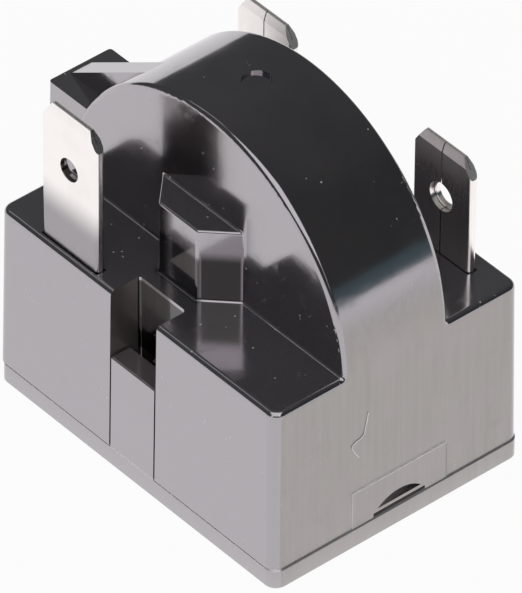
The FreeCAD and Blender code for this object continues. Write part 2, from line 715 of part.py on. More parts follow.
def make_start_terminal():
    """The front tab, its leg behind the front wall and the strip that runs under the disc."""
    body = new_body("start_terminal")
    left = f"{FRONT_TAB_X} - start_strip_width / 2"
    right = f"{FRONT_TAB_X} + start_strip_width / 2"
    leg = new_sketch(body, "leg", "XZ_Plane", FRONT_FACE)
    rectangle(leg, left, right, "strip_height", BLADE_LOW)
    pad(body, "leg_pad", leg, "sheet_thickness", reverse=True)
    floor = new_sketch(body, "floor", "XY_Plane", "strip_height")
    wide = f"-{SOCKET_X} + tail_width / 2 + 0.4"
    end = f"{SOCKET_Y} - {SOCKET_RADIUS} - fit_clearance"
    outline(floor, [
        (left, f"-{FRONT_FACE}"),
        (right, f"-{FRONT_FACE}"),
        (right, "-foot_length"),
        (wide, "0"),
        (wide, end),
        (left, end),
    ])
    pad(body, "floor_pad", floor, "sheet_thickness")
    low = size("strip_height")
    front = size("front_tab_setback") - size("body_depth") / 2
    skin = size("sheet_thickness")
    round_edges(body, "outer_bend", "sheet_thickness + bend_radius", lambda p, d, e: (
        abs(p.z - low) < 0.01 and abs(p.y - front) < 0.01
    ))
    round_edges(body, "inner_bend", "bend_radius", lambda p, d, e: (
        abs(p.z - low - skin) < 0.01 and abs(p.y - front - skin) < 0.01
    ))
    blade(body, "blade", FRONT_TAB_X, f"-{FRONT_FACE}", "", "front_tab_tip")
    rivet_hole(body, "socket_rivet", "XY_Plane", f"-{SOCKET_X}", SOCKET_RIVET_Y)
    rivet_hole(body, "spring_rivet", "XY_Plane", FRONT_ARM_X, SPRING_RIVET_Y)
    return body


def make_run_terminal():
    """The bus band inside the rear wall and its two folded tabs."""
    body = new_body("run_terminal")
    band = new_sketch(body, "band", "XZ_Plane", f"-{REAR_FACE}")
    rectangle(
        band,
        f"{LEFT_TAB_X} - tab_width / 2",
        f"{RIGHT_TAB_X} + tab_width / 2",
        BUS_LOW,
        BUS_TOP,
    )
    pad(body, "band_pad", band, "sheet_thickness")
    for name, center in (("left", LEFT_TAB_X), ("right", RIGHT_TAB_X)):
        neck = new_sketch(body, f"{name}_neck", "XZ_Plane", f"-{REAR_FACE}")
        rectangle(
            neck,
            f"{center} - tab_width / 2 + fold_radius",
            f"{center} + tab_width / 2 - fold_radius",
            f"{BUS_TOP} - 0.2",
            f"{BLADE_LOW} + 0.1",
        )
        pad(body, f"{name}_neck_pad", neck, "sheet_thickness")
        blade(body, name, center, REAR_FACE, "-", "rear_tab_tip")
    rivet_hole(body, "socket_rivet", "XZ_Plane", SOCKET_X, BUS_RIVET_Z)
    rivet_hole(body, "spring_rivet", "XZ_Plane", REAR_ARM_X, BUS_RIVET_Z)
    return body


def sleeve(body, across, low, length):
    """The outside of a rolled pin socket; its bore and slit are cut last."""
    plan = new_sketch(body, "sleeve", "XY_Plane", low)
    circle(plan, across, SOCKET_Y, SOCKET_RADIUS)
    pad(body, "sleeve_pad", plan, length)


def bore(body, across, low, length, slit_side):
    plan = new_sketch(body, "bore", "XY_Plane", low)
    circle(plan, across, SOCKET_Y, "socket_bore_diameter / 2")
    pocket(body, "bore_cut", plan, length, reverse=True)
    gap = new_sketch(body, "slit", "XY_Plane", low)
    ends = (SOCKET_Y, f"{SOCKET_Y} {slit_side} ({SOCKET_RADIUS} + 0.2)")
    rectangle(gap, f"{across} - socket_slit / 2", f"{across} + socket_slit / 2",
              *(ends if slit_side == "+" else ends[::-1]))
    pocket(body, "slit_cut", gap, length, reverse=True)


def make_start_socket():
    """The left pin socket, on a foot that is riveted to the start strip."""
    body = new_body("start_socket")
    place = f"-{SOCKET_X}"
    sleeve(body, place, SOCKET_LOW, SOCKET_LENGTH)
    foot = new_sketch(body, "foot", "XY_Plane", STRIP_TOP)
    rectangle(foot, f"{place} - tail_width / 2", f"{place} + tail_width / 2",
              f"{SOCKET_Y} - {SOCKET_RADIUS} - tail_reach", SOCKET_Y)
    pad(body, "foot_pad", foot, "sheet_thickness")
    bore(body, place, SOCKET_LOW, SOCKET_LENGTH, "+")
    rivet_hole(body, "rivet", "XY_Plane", place, SOCKET_RIVET_Y)
    return body


def make_run_socket():
    """The right pin socket, whose tail runs up and is riveted to the bus."""
    body = new_body("run_socket")
    place = SOCKET_X
    sleeve(body, place, SOCKET_LOW, SOCKET_LENGTH)
    tail = new_sketch(body, "tail", "XZ_Plane", f"-{BUS_FACE}")
    rectangle(tail, f"{place} - tail_width / 2", f"{place} + tail_width / 2",
              f"{CLIP_LOW} + {CLIP_HEIGHT} + fit_clearance", BUS_TOP)
    pad(body, "tail_pad", tail, "sheet_thickness")
    bore(body, place, SOCKET_LOW, SOCKET_LENGTH, "-")
    rivet_hole(body, "rivet", "XZ_Plane", place, BUS_RIVET_Z)
    return body


def make_clip(label, across, side):
    """A spring ring round a socket, open where the slit of the socket is not."""
    body = new_body(label)
    plan = new_sketch(body, "ring", "XY_Plane", CLIP_LOW)
    circle(plan, across, SOCKET_Y, f"{SOCKET_RADIUS} + clip_clearance + clip_thickness")
    circle(plan, across, SOCKET_Y, f"{SOCKET_RADIUS} + clip_clearance")
    pad(body, "ring_pad", plan, CLIP_HEIGHT)
    gap = new_sketch(body, "gap", "XY_Plane", CLIP_LOW)
    ends = (SOCKET_Y, f"{SOCKET_Y} {side} ({SOCKET_RADIUS} + 2 * clip_thickness)")
    rectangle(gap, f"{across} - clip_slit / 2", f"{across} + clip_slit / 2",
              *(ends if side == "+" else ends[::-1]))
    pocket(body, "gap_cut", gap, CLIP_HEIGHT, reverse=True)
    return body


def make_pill():
    body = new_body("ptc_pill")
    plan = new_sketch(body, "disc", "XZ_Plane", f"-{PILL_Y}")
    circle(plan, "0", "dome_center_height", "pill_diameter / 2")
    pad(body, "disc_pad", plan, "pill_thickness", middle=True)
    return body


def make_spring(label, sign, wall, face, arm):
    """A bowed leaf that presses on the disc; sign is '-' in front of it and '+' behind it."""
    body = new_body(label)
    low = "dome_center_height - spring_width / 2"
    leaf = new_sketch(body, "leaf", "XY_Plane", low)
    back = f"({wall} {flip(sign)} spring_thickness)"
    crest = f"({face} {sign} spring_thickness)"
    end = "spring_span / 2"
    knee = "(spring_span / 2 - 1.5)"
    flat = "spring_flat / 2"
    arm_left = f"{arm} - arm_width / 2"
    arm_right = f"{arm} + arm_width / 2"
    if sign == "-":
        lefts = [(arm_left, wall, back), (arm_right, wall, back)]
        rights = [(knee, wall, back), (end, wall, back)]
    else:
        lefts = [(f"-{end}", wall, back), (f"-{knee}", wall, back)]
        rights = [(arm_left, wall, back), (arm_right, wall, back)]
    middle = [(f"-{flat}", crest, face), (flat, crest, face)]
    stations = lefts + middle + rights
    outline(leaf, [(x, outer) for x, outer, _ in stations]
            + [(x, inner) for x, _, inner in reversed(stations)])
    pad(body, "leaf_pad", leaf, "spring_width")
    return body


def flip(sign):
    return "+" if sign == "-" else "-"


def make_front_spring():
    """The front leaf, with an arm down to a foot on the start strip."""
    wall = "-(dome_front - dome_wall - spring_gap)"
    face = f"({PILL_Y} - pill_thickness / 2)"
    body = make_spring("front_contact_spring", "-", wall, face, FRONT_ARM_X)
    arm = new_sketch(body, "arm", "YZ_Plane", FRONT_ARM_X)
    top = "dome_center_height - spring_width / 2 + 0.5"
    inner = f"({wall} + spring_thickness)"
    outline(arm, [
        (wall, STRIP_TOP),
        (f"{wall} + foot_length", STRIP_TOP),
        (f"{wall} + foot_length", f"{STRIP_TOP} + spring_thickness"),
        (inner, f"{STRIP_TOP} + spring_thickness"),
        (inner, top),
        (wall, top),
    ])
    pad(body, "arm_pad", arm, "arm_width", middle=True)
    level = size("strip_height") + size("sheet_thickness")
    round_edges(body, "outer_bend", "spring_thickness + bend_radius", lambda p, d, e: (
        abs(p.z - level) < 0.01 and p.y < size("dome_wall") - size("dome_front") + 0.2
    ))
    skin = size("spring_thickness")
    round_edges(body, "inner_bend", "bend_radius", lambda p, d, e: (
        abs(p.z - level - skin) < 0.01 and p.y < size("dome_wall") - size("dome_front") + 0.5
    ))
    rivet_hole(body, "rivet", "XY_Plane", FRONT_ARM_X, SPRING_RIVET_Y)
    return body


def make_rear_spring():
    """The rear leaf, with an arm that reaches back to the bus."""
    wall = "(dome_rear - dome_wall - spring_gap)"
    face = f"({PILL_Y} + pill_thickness / 2)"
    body = make_spring("rear_contact_spring", "+", wall, face, REAR_ARM_X)
    arm = new_sketch(body, "arm", "YZ_Plane", REAR_ARM_X)
    top = "dome_center_height - spring_width / 2 + 0.5"
    low = f"({BUS_LOW} - spring_thickness - fit_clearance)"
    skin = "spring_thickness"
    outline(arm, [
        (wall, top),
        (f"{wall} - {skin}", top),
        (f"{wall} - {skin}", low),
        (BUS_FACE, low),
        (BUS_FACE, BUS_TOP),
        (f"{BUS_FACE} - {skin}", BUS_TOP),
        (f"{BUS_FACE} - {skin}", f"{low} + {skin}"),
        (wall, f"{low} + {skin}"),
    ])
    pad(body, "arm_pad", arm, "arm_width", middle=True)
    rivet_hole(body, "rivet", "XZ_Plane", REAR_ARM_X, BUS_RIVET_Z)
    return body


def make_rivet(label, plane, across, up, low, grip):
    """A tubular rivet seen as set: a shank through both sheets between two low heads."""
    body = new_body(label)
    reverse = plane == "XZ_Plane"
    shift = f"-({low})" if reverse else f"{low}"
    head = f"-({low} - rivet_head_height)" if reverse else f"{low} - rivet_head_height"
    far = f"-({low} + {grip})" if reverse else f"{low} + {grip}"
    for name, offset, radius, length in (
        ("first_head", head, "rivet_head_diameter / 2", "rivet_head_height"),
        ("shank", shift, "rivet_diameter / 2", grip),
        ("second_head", far, "rivet_head_diameter / 2", "rivet_head_height"),
    ):
        plan = new_sketch(body, name, plane, offset)
        circle(plan, across, up, radius)
        pad(body, f"{name}_pad", plan, length, reverse=reverse)
    return body


def make_all():
    housing = make_housing()
    add_lug(housing)
    add_boss(housing)
    add_slot(housing)
    add_latch_side(housing)
    add_mold_mark(housing)
    make_housing_inside(housing)
    make_cover()
    make_start_terminal()
    make_run_terminal()
    make_pill()
    make_front_spring()
    make_rear_spring()
    make_start_socket()
    make_run_socket()
    make_clip("start_socket_clip", f"-{SOCKET_X}", "-")
    make_clip("run_socket_clip", SOCKET_X, "+")
    make_rivet("start_socket_rivet", "XY_Plane", f"-{SOCKET_X}", SOCKET_RIVET_Y,
               "strip_height", "2 * sheet_thickness")
    make_rivet("front_spring_rivet", "XY_Plane", FRONT_ARM_X, SPRING_RIVET_Y,
               "strip_height", "sheet_thickness + spring_thickness")
    make_rivet("run_socket_rivet", "XZ_Plane", SOCKET_X, BUS_RIVET_Z,
               f"{BUS_FACE} - sheet_thickness", "2 * sheet_thickness")
    make_rivet("rear_spring_rivet", "XZ_Plane", REAR_ARM_X, BUS_RIVET_Z,
               f"{BUS_FACE} - spring_thickness", "sheet_thickness + spring_thickness")


def check_and_save():
    doc.recompute()
    os.makedirs("parts", exist_ok=True)
    for item in doc.Objects:
        if "Invalid" in item.State or "Error" in item.State:
            raise RuntimeError(f"{item.Name} is {item.State}")
    for body in doc.Objects:
        if not body.isDerivedFrom("PartDesign::Body"):
            continue
        shape = body.Shape
        if shape.isNull() or not shape.isValid() or len(shape.Solids) != 1:
            raise RuntimeError(f"{body.Label} is not one valid solid")
        shape.exportStep(f"parts/{body.Label}.step")
        print(body.Label, round(shape.Volume, 2), len(shape.Faces))


make_all()
check_and_save()
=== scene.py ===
import math

import bmesh
import bpy
from bpy.props import FloatProperty, FloatVectorProperty, PointerProperty
from bpy.types import Operator, Panel, PropertyGroup
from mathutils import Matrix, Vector


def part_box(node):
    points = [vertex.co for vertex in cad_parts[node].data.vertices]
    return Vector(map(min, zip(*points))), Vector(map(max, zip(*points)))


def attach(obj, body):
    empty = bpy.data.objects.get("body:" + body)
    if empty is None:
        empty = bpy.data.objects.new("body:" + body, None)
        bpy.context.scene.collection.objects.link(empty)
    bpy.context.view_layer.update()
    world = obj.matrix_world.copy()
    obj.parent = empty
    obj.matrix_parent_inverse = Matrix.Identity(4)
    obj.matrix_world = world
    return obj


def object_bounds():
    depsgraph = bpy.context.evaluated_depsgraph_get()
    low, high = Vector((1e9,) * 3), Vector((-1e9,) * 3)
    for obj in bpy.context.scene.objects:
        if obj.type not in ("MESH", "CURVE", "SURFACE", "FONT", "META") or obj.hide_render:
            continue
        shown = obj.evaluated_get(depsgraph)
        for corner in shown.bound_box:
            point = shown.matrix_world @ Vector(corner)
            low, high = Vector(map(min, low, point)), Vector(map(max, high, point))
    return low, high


bl_info = {
    "name": "Compressor start relay",
    "version": (1, 0, 0),
    "blender": (4, 5, 0),
    "location": "3D View > Sidebar > Start Relay",
    "description": "Dresses the packed start relay with its finishes, wear and studio stage",
    "category": "Object",
}

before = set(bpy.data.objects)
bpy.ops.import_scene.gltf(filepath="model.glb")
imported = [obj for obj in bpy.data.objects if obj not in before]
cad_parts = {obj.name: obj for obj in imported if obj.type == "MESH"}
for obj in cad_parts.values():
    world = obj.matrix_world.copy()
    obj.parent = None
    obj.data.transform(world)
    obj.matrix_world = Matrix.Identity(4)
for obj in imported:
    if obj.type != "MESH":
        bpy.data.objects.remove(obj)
cad_low, cad_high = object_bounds()
housing_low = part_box("housing")[0]
blade_low, blade_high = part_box("start_terminal")
disc_low, disc_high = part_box("ptc_pill")

MM = 0.001
X, Y, Z = range(3)

HOUSING_NODES = ("housing",)
COVER_NODES = ("base_cover",)
BLADE_NODES = ("start_terminal", "run_terminal")
BRASS_NODES = ("start_socket", "run_socket")
SPRING_NODES = (
    "front_contact_spring",
    "rear_contact_spring",
    "start_socket_clip",
    "run_socket_clip",
)
RIVET_NODES = (
    "start_socket_rivet",
    "front_spring_rivet",
    "run_socket_rivet",
    "rear_spring_rivet",
)
CERAMIC_NODES = ("ptc_pill",)


def near(middle, half):
    """The range that reaches as far to both sides of a value."""
    return (middle - half, middle + half)


# Places on the mouldings. The cover stands out to the right of the housing by COVER_SHIFT, and
# the right wall leans in by DRAFT above the cover.
COVER_SHIFT = 0.15 * MM
DRAFT = math.radians(0.75)
COVER_TOP = housing_low[Z]
RIGHT_WALL = cad_high[X] - COVER_SHIFT
FRONT_WALL = cad_low[Y]
LEDGE_TOP = 16.7 * MM
DOME_FACE = -5.2 * MM
BOSS_MIDDLE = -0.2 * MM
BOSS_FRONT = -7.6 * MM
SLOT_DEPTH = 3.0 * MM

# Boxes where shade is painted on the moulding, as it sees only its own dark walls there, as
# ranges along X, Y and Z: the foot of the boss's front face, its right side and the back wall of
# the front slot.
BOSS_FOOT = (
    near(BOSS_MIDDLE, 2.5 * MM),
    near(BOSS_FRONT, 0.2 * MM),
    (LEDGE_TOP - 1.7 * MM, LEDGE_TOP + 3.9 * MM),
)
BOSS_SIDE = (
    (BOSS_MIDDLE + 2.35 * MM, BOSS_MIDDLE + 5.1 * MM),
    (BOSS_FRONT - 0.3 * MM, DOME_FACE - 0.1 * MM),
    (LEDGE_TOP + 0.12 * MM, LEDGE_TOP + 5.3 * MM),
)
BOSS_SIDE_FADE = (LEDGE_TOP + 3.6 * MM, LEDGE_TOP + 4.8 * MM)
SLOT_BACK = (
    near(BOSS_MIDDLE, 2.7 * MM),
    near(FRONT_WALL + SLOT_DEPTH, 0.2 * MM),
    (LEDGE_TOP - 6.7 * MM, LEDGE_TOP - 0.3 * MM),
)

# The height over which the pale film on the top faces ends: a film of dust and painted light
FILM_FADE = (24.0 * MM, 24.5 * MM)

# Edges of the latch pad on the right wall and of the parting line above the cover, with painted
# highlights along the pad's top and front and along the parting line
PAD_FRONT = -4.45 * MM
PAD_REAR = 4.75 * MM
PAD_TOP = 5.4 * MM
PAD_EDGE = 0.07 * MM
PAD_DEPTH = (RIGHT_WALL - 0.85 * MM, RIGHT_WALL + 0.35 * MM)
PAD_TOP_EDGE = (PAD_DEPTH, (PAD_FRONT - 0.05 * MM, PAD_REAR + 0.05 * MM), near(PAD_TOP, PAD_EDGE))
PAD_FRONT_EDGE = (PAD_DEPTH, near(PAD_FRONT, PAD_EDGE), (COVER_TOP + 0.1 * MM, PAD_TOP))
PAD_REAR_EDGE = (PAD_DEPTH, near(PAD_REAR, PAD_EDGE), (COVER_TOP + 0.1 * MM, PAD_TOP - 0.05 * MM))
SEAM_HEIGHT = (COVER_TOP - 0.16 * MM, COVER_TOP + 0.04 * MM)
FRONT_SEAM = (None, (FRONT_WALL - 0.3 * MM, FRONT_WALL + 0.4 * MM), SEAM_HEIGHT)
SIDE_SEAM = (near(RIGHT_WALL + 0.05 * MM, 0.5 * MM), None, SEAM_HEIGHT)

# Places on the blade tabs: the detent hole of the front tab, the painted shade at its foot, which
# stands for the dark housing that the plating reflects there, and the ends of the rear tabs, which
# handling has dulled.
TAB_WIDTH = 6.3 * MM
TAB_THICKNESS = 0.8 * MM
TAB_HOLE_DROP = 4.9 * MM
TAB_HOLE = (
    near(blade_low[X] + TAB_WIDTH / 2, 1.1 * MM),
    (blade_low[Y] + 0.06 * MM, blade_low[Y] + TAB_THICKNESS),
    near(blade_high[Z] - TAB_HOLE_DROP, 1.1 * MM),
)
FOOT_SHADE_HEIGHT = (19.2 * MM, 22.8 * MM)
FRONT_OF_DISC = (-2.0 * MM, -1.0 * MM)
REAR_TAB_ENDS = (None, (9.0 * MM, 11.0 * MM), (23.5 * MM, 30.0 * MM))

# The printed electrode, which ends short of the disc's rim
DISC_MIDDLE = (disc_low[Z] + disc_high[Z]) / 2
DISC_RADIUS = (disc_high[X] - disc_low[X]) / 2
PRINT_EDGE = (DISC_RADIUS - 1.0 * MM, DISC_RADIUS - 0.8 * MM)

# Colours of wear, of painted light and shade, and of single places, which no user would change
BROWN_CAST = (0.034, 0.028, 0.024, 1.0)
# Painted sheen of the right wall, in blotches
PAINTED_SHEEN_BLOTCH = (0.29, 0.255, 0.235, 1.0)
# Painted shade for the places that see only the moulding's own dark walls
DEEP_SHADE = (0.03, 0.028, 0.026, 1.0)
# Pale film on the faces that look up: dust and painted light
TOP_DUST_AND_LIGHT = (0.08, 0.077, 0.08, 1.0)
COVER_PALE_TONE = (0.62, 0.6, 0.6, 1.0)
DUST_GREY = (0.9, 0.88, 0.86, 1.0)
# Painted highlights along the edges of the latch pad and the parting line
PAINTED_HIGHLIGHT_GREY = (0.85, 0.83, 0.82, 1.0)
# Painted shade at the foot of the front tab
PAINTED_FOOT_SHADE = (0.33, 0.31, 0.33, 1.0)
HOLE_SHADE = (0.16, 0.14, 0.12, 1.0)
BRASS_TARNISH = (0.42, 0.3, 0.14, 1.0)
STEEL_TARNISH = (0.34, 0.31, 0.27, 1.0)
RIVET_TARNISH = (0.45, 0.43, 0.4, 1.0)

# The fibre's path over the right wall, as distances to the rear of the middle and above the
# floor. It lies on the drafted wall, so its distance to the right follows from its height.
FIBRE_PATH = (
    (-2.9 * MM, 12.4 * MM),
    (-3.2 * MM, 11.0 * MM),
    (-3.45 * MM, 10.4 * MM),
    (-4.1 * MM, 10.2 * MM),
    (-4.45 * MM, 9.95 * MM),
    (-4.3 * MM, 9.4 * MM),
    (-3.8 * MM, 8.6 * MM),
)

# How close the grain of each finish lies along X, Y and Z, in waves per metre
DRAWN_LINES = (2600.0, 2600.0, 90.0)
WIPE_MARKS = (700.0, 240.0, 500.0)
WIPE_TURN = (0.3, 0.2, 0.5)
WALL_WAVES = (150.0, 150.0, 90.0)
BLADE_GRAIN = (5200.0, 5200.0, 160.0)
SOCKET_GRAIN = (4200.0, 4200.0, 300.0)
SPRING_GRAIN = (300.0, 4200.0, 4200.0)
RIVET_GRAIN = (2600.0, 2600.0, 2600.0)

# The stage, with its sizes in metres
FLOOR_HALF = 1.5
FLOOR_GAP = 0.02 * MM
FLOOR_GLOW_SHARE = 0.95
LAMP_AIM = (0.0, 0.0, 0.014)
CARD_COLOR = (0.35, 0.85, 1.0)
SKY_COLOR = (0.92, 0.96, 1.0, 1.0)
SKY_SPAN = (-0.6, 0.5)
SKY_STRENGTH = (0.078, 0.042)


# Node helpers


class Nodes:
    """A small layer over one material's node tree, so a finish reads from top to bottom."""

    def __init__(self, name):
        self.material = bpy.data.materials.new(name)
        self.material.use_nodes = True
        self.tree = self.material.node_tree
        self.shader = self.tree.nodes["Principled BSDF"]

    def add(self, kind, **settings):
        """A new node of a kind, with its settings."""
        node = self.tree.nodes.new(kind)
        for key, value in settings.items():
            setattr(node, key, value)
        return node

    def link(self, source, target):
        self.tree.links.new(source, target)

    def finish(self, socket, source):
        """Ends one chain of nodes in a socket of the shader."""
        self.link(source, self.shader.inputs[socket])

    def place(self):
        """The point of the surface, in the part's own frame."""
        return self.add("ShaderNodeTexCoord").outputs["Object"]

    def stretched(self, scale, turn):
        """The point of the surface, scaled and turned."""
        node = self.add("ShaderNodeMapping")
        node.inputs["Scale"].default_value = scale
        node.inputs["Rotation"].default_value = turn
        self.link(self.place(), node.inputs["Vector"])
        return node.outputs["Vector"]

    def noise(self, scale, detail=3.0, roughness=0.5, vector=None):
        """Even noise with its scale in waves per metre."""
        node = self.add("ShaderNodeTexNoise")
        node.inputs["Scale"].default_value = scale
        node.inputs["Detail"].default_value = detail
        node.inputs["Roughness"].default_value = roughness
        self.link(vector or self.place(), node.inputs["Vector"])
        return node.outputs["Fac"]

    def grain(self, scale, detail=4.0, roughness=0.6, turn=(0, 0, 0)):
        """Noise with its own scale along each axis."""
        return self.noise(1.0, detail, roughness, self.stretched(scale, turn))

    def span(self, value, low, high, to_low, to_high, smooth=False):
        """The value carried from one range to another, and held at its ends."""
        node = self.add("ShaderNodeMapRange")
        node.interpolation_type = "SMOOTHSTEP" if smooth else "LINEAR"
        set_span(node, (low, high), (to_low, to_high))
        self.link(value, node.inputs["Value"])
        return node.outputs["Result"]

    def rise(self, value, low, high):
        """0 below the range and 1 above it, with a soft passage."""
        return self.span(value, low, high, 0.0, 1.0, smooth=True)

    def fall(self, value, low, high):
        """1 below the range and 0 above it, with a soft passage."""
        return self.span(value, low, high, 1.0, 0.0, smooth=True)

    def math(self, operation, first, second=None):
        """One operation on one or two numbers or sockets."""
        node = self.add("ShaderNodeMath", operation=operation)
        for index, value in enumerate((first, second)):
            if value is None:
                continue
            if isinstance(value, (int, float)):
                node.inputs[index].default_value = value
            else:
                self.link(value, node.inputs[index])
        return node.outputs["Value"]

    def chain(self, operation, *values):
        """One operation carried through all the values."""
        result = values[0]
        for value in values[1:]:
            result = self.math(operation, result, value)
        return result

    def times(self, *values):
        """The product of the values."""
        return self.chain("MULTIPLY", *values)

    def plus(self, *values):
        """The sum of the values."""
        return self.chain("ADD", *values)

    def most(self, *values):
        """The largest of the values."""
        return self.chain("MAXIMUM", *values)

    def mix(self, factor, first, second):
        """Two colours mixed by a factor."""
        node = self.add("ShaderNodeMix", data_type="RGBA")
        for key, value in (("A", first), ("B", second)):
            socket = next(s for s in node.inputs if s.name == key and s.type == "RGBA")
            if isinstance(value, tuple):
                socket.default_value = value
            else:
                self.link(value, socket)
        self.link(factor, node.inputs["Factor"])
        return next(s for s in node.outputs if s.type == "RGBA")

    def blend(self, factor, first, second):
        """Two numbers mixed by a factor."""
        node = self.add("ShaderNodeMix", data_type="FLOAT")
        for index, value in ((0, factor), (2, first), (3, second)):
            self.link(value, node.inputs[index])
        return node.outputs[0]

    def band(self, value, low, high, soft):
        """1 between the two values and 0 outside them, with soft ends."""
        start = self.rise(value, low - soft, low + soft)
        return self.times(start, self.fall(value, high - soft, high + soft))

    def patch(self, box, soft=0.03 * MM):
        """1 inside a box of the part, where None leaves an axis free."""
        place = self.split(self.place())
        bands = [
            self.band(place[axis], reach[0], reach[1], soft)
            for axis, reach in enumerate(box)
            if reach is not None
        ]
        return self.times(*bands)

    def bump(self, height, strength, distance, below=None):
        """A relief, laid over another one where that is given."""
        node = self.add("ShaderNodeBump")
        node.inputs["Strength"].default_value = strength
        node.inputs["Distance"].default_value = distance
        self.link(height, node.inputs["Height"])
        if below is not None:
            self.link(below, node.inputs["Normal"])
        return node.outputs["Normal"]

    def split(self, source):
        """The X, Y and Z of a vector."""
        node = self.add("ShaderNodeSeparateXYZ")
        self.link(source, node.inputs["Vector"])
        return node.outputs

    def normal(self):
        """The surface's own normal, as its three shares along X, Y and Z."""
        return self.split(self.add("ShaderNodeNewGeometry").outputs["Normal"])

    def facing(self, axis, low, high):
        """1 where the surface looks along +X, +Y or +Z."""
        return self.rise(self.normal()[axis], low, high)


def set_span(node, before, after):
    """Writes the two ranges of a Map Range node."""
    numbers = (*before, *after)
    for key, number in zip(("From Min", "From Max", "To Min", "To Max"), numbers):
        node.inputs[key].default_value = number


def opaque(color):
    """A colour with full cover."""
    return tuple(color[:3]) + (1.0,)


def shade(color, factor):
    """A colour made lighter or darker by a factor."""
    return opaque([min(1.0, share * factor) for share in color[:3]])


# Sizes and colours that a user would change


class RelayPlasticSettings(PropertyGroup):
    """The black moulding compound of the housing and the base cover"""

    color: FloatVectorProperty(
        name="Plastic colour", description="Colour of the black moulding compound",
        subtype="COLOR", size=3, min=0.0, max=1.0, default=(0.018, 0.0175, 0.018),
    )
    gloss: FloatProperty(
        name="Polish roughness", description="Roughness of the mirror-polished walls",
        subtype="FACTOR", min=0.02, max=1.0, default=0.13,
    )
    satin: FloatProperty(
        name="Satin roughness", description="Roughness of the drawn, satin right wall",
        subtype="FACTOR", min=0.02, max=1.0, default=0.34,
    )
    tint: FloatVectorProperty(
        name="Skin tint", description="Faint violet cast of the reflections on the glossy skin",
        subtype="COLOR", size=3, min=0.0, max=1.0, default=(1.0, 0.935, 1.0),
    )
    # The right wall's colour is a painted sheen: pale and warm, and with a metal share of 0.6 it
    # stands for the bright reflection of the drawn satin wall
    sheen: FloatVectorProperty(
        name="Right wall sheen", description="Warm sheen of the drawn, satin right wall",
        subtype="COLOR", size=3, min=0.0, max=1.0, default=(0.27, 0.25, 0.215),
    )
    index: FloatProperty(
        name="Skin refractive index", description="Refractive index of the glossy skin",
        min=1.3, max=3.0, default=2.58,
    )
    dust: FloatProperty(
        name="Dust amount", description="How much fine dust lies on the moulding",
        subtype="FACTOR", min=0.0, max=1.0, default=0.9,
    )


class RelayMetalSettings(PropertyGroup):
    """The plated terminals, brass sockets, steel springs and rivets"""

    plate: FloatVectorProperty(
        name="Tab plating", description="Colour of the silvery plating on the blade tabs",
        subtype="COLOR", size=3, min=0.0, max=1.0, default=(1.0, 0.95, 0.93),
    )
    plate_roughness: FloatProperty(
        name="Plating roughness", description="Roughness of the plated blade tabs",
        subtype="FACTOR", min=0.02, max=1.0, default=0.2,
    )
    brass: FloatVectorProperty(
        name="Brass", description="Colour of the rolled pin sockets",
        subtype="COLOR", size=3, min=0.0, max=1.0, default=(0.72, 0.56, 0.28),
    )
    spring: FloatVectorProperty(
        name="Spring steel", description="Colour of the leaf springs and spring rings",
        subtype="COLOR", size=3, min=0.0, max=1.0, default=(0.52, 0.52, 0.53),
    )
    rivet: FloatVectorProperty(
        name="Rivet metal", description="Colour of the set rivets",
        subtype="COLOR", size=3, min=0.0, max=1.0, default=(0.62, 0.61, 0.6),
    )


class RelayCeramicSettings(PropertyGroup):
    """The start resistor disc and its electrodes"""

    color: FloatVectorProperty(
        name="Ceramic colour", description="Colour of the pressed start resistor disc",
        subtype="COLOR", size=3, min=0.0, max=1.0, default=(0.12, 0.12, 0.13),
    )
    silvering: FloatVectorProperty(
        name="Electrode colour", description="Colour of the electrode printed on the disc's faces",
        subtype="COLOR", size=3, min=0.0, max=1.0, default=(0.6, 0.59, 0.56),
    )


class RelayWearSettings(PropertyGroup):
    """The lint fibre that lies on the right wall"""

    fibre_width: FloatProperty(
        name="Fibre thickness", description="Thickness of the lint fibre on the right wall",
        subtype="DISTANCE", unit="LENGTH", precision=5,
        min=0.01 * MM, max=0.3 * MM, default=0.08 * MM,
    )
    fibre_color: FloatVectorProperty(
        name="Fibre colour", description="Colour of the lint fibre",
        subtype="COLOR", size=3, min=0.0, max=1.0, default=(0.95, 0.95, 0.94),
    )


class RelayStageSettings(PropertyGroup):
    """The floor and the camera"""

    floor_color: FloatVectorProperty(
        name="Floor colour", description="Colour of the plain floor",
        subtype="COLOR", size=3, min=0.0, max=1.0, default=(0.93, 0.93, 0.93),
    )
    azimuth: FloatProperty(
        name="Camera azimuth",
        description="Angle of the camera round the relay, from the slotted front wall",
        subtype="ANGLE", unit="ROTATION", default=math.radians(49.1497),
    )
    elevation: FloatProperty(
        name="Camera elevation", description="Angle of the camera above the floor",
        subtype="ANGLE", unit="ROTATION", default=math.radians(40.2042),
    )
    roll: FloatProperty(
        name="Camera roll", description="Turn of the camera about its own axis",
        subtype="ANGLE", unit="ROTATION", default=math.radians(0.5304),
    )
    distance: FloatProperty(
        name="Camera distance", description="Distance from the camera to the point it looks at",
        subtype="DISTANCE", unit="LENGTH", default=0.74737,
    )
    target: FloatVectorProperty(
        name="Camera target", description="Point that the camera looks at",
        subtype="TRANSLATION", unit="LENGTH", precision=5,
        default=(0.001019, -0.000588, 0.012633),
    )
    lens: FloatProperty(
        name="Lens", description="Focal length in millimetres on a sensor 36 mm wide",
        min=50.0, default=700.195,
    )


# The finish of the mouldings, mask by mask


def painted_shade_places(n):
    """1 where shade is painted, as the moulding sees only its own dark walls there."""
    boss_foot = n.patch(BOSS_FOOT, soft=0.3 * MM)
    height = n.split(n.place())[Z]
    shaded = n.fall(height, *BOSS_SIDE_FADE)
    boss_side = n.times(n.patch(BOSS_SIDE, soft=0.08 * MM), shaded)
    return n.most(boss_foot, boss_side, n.patch(SLOT_BACK))


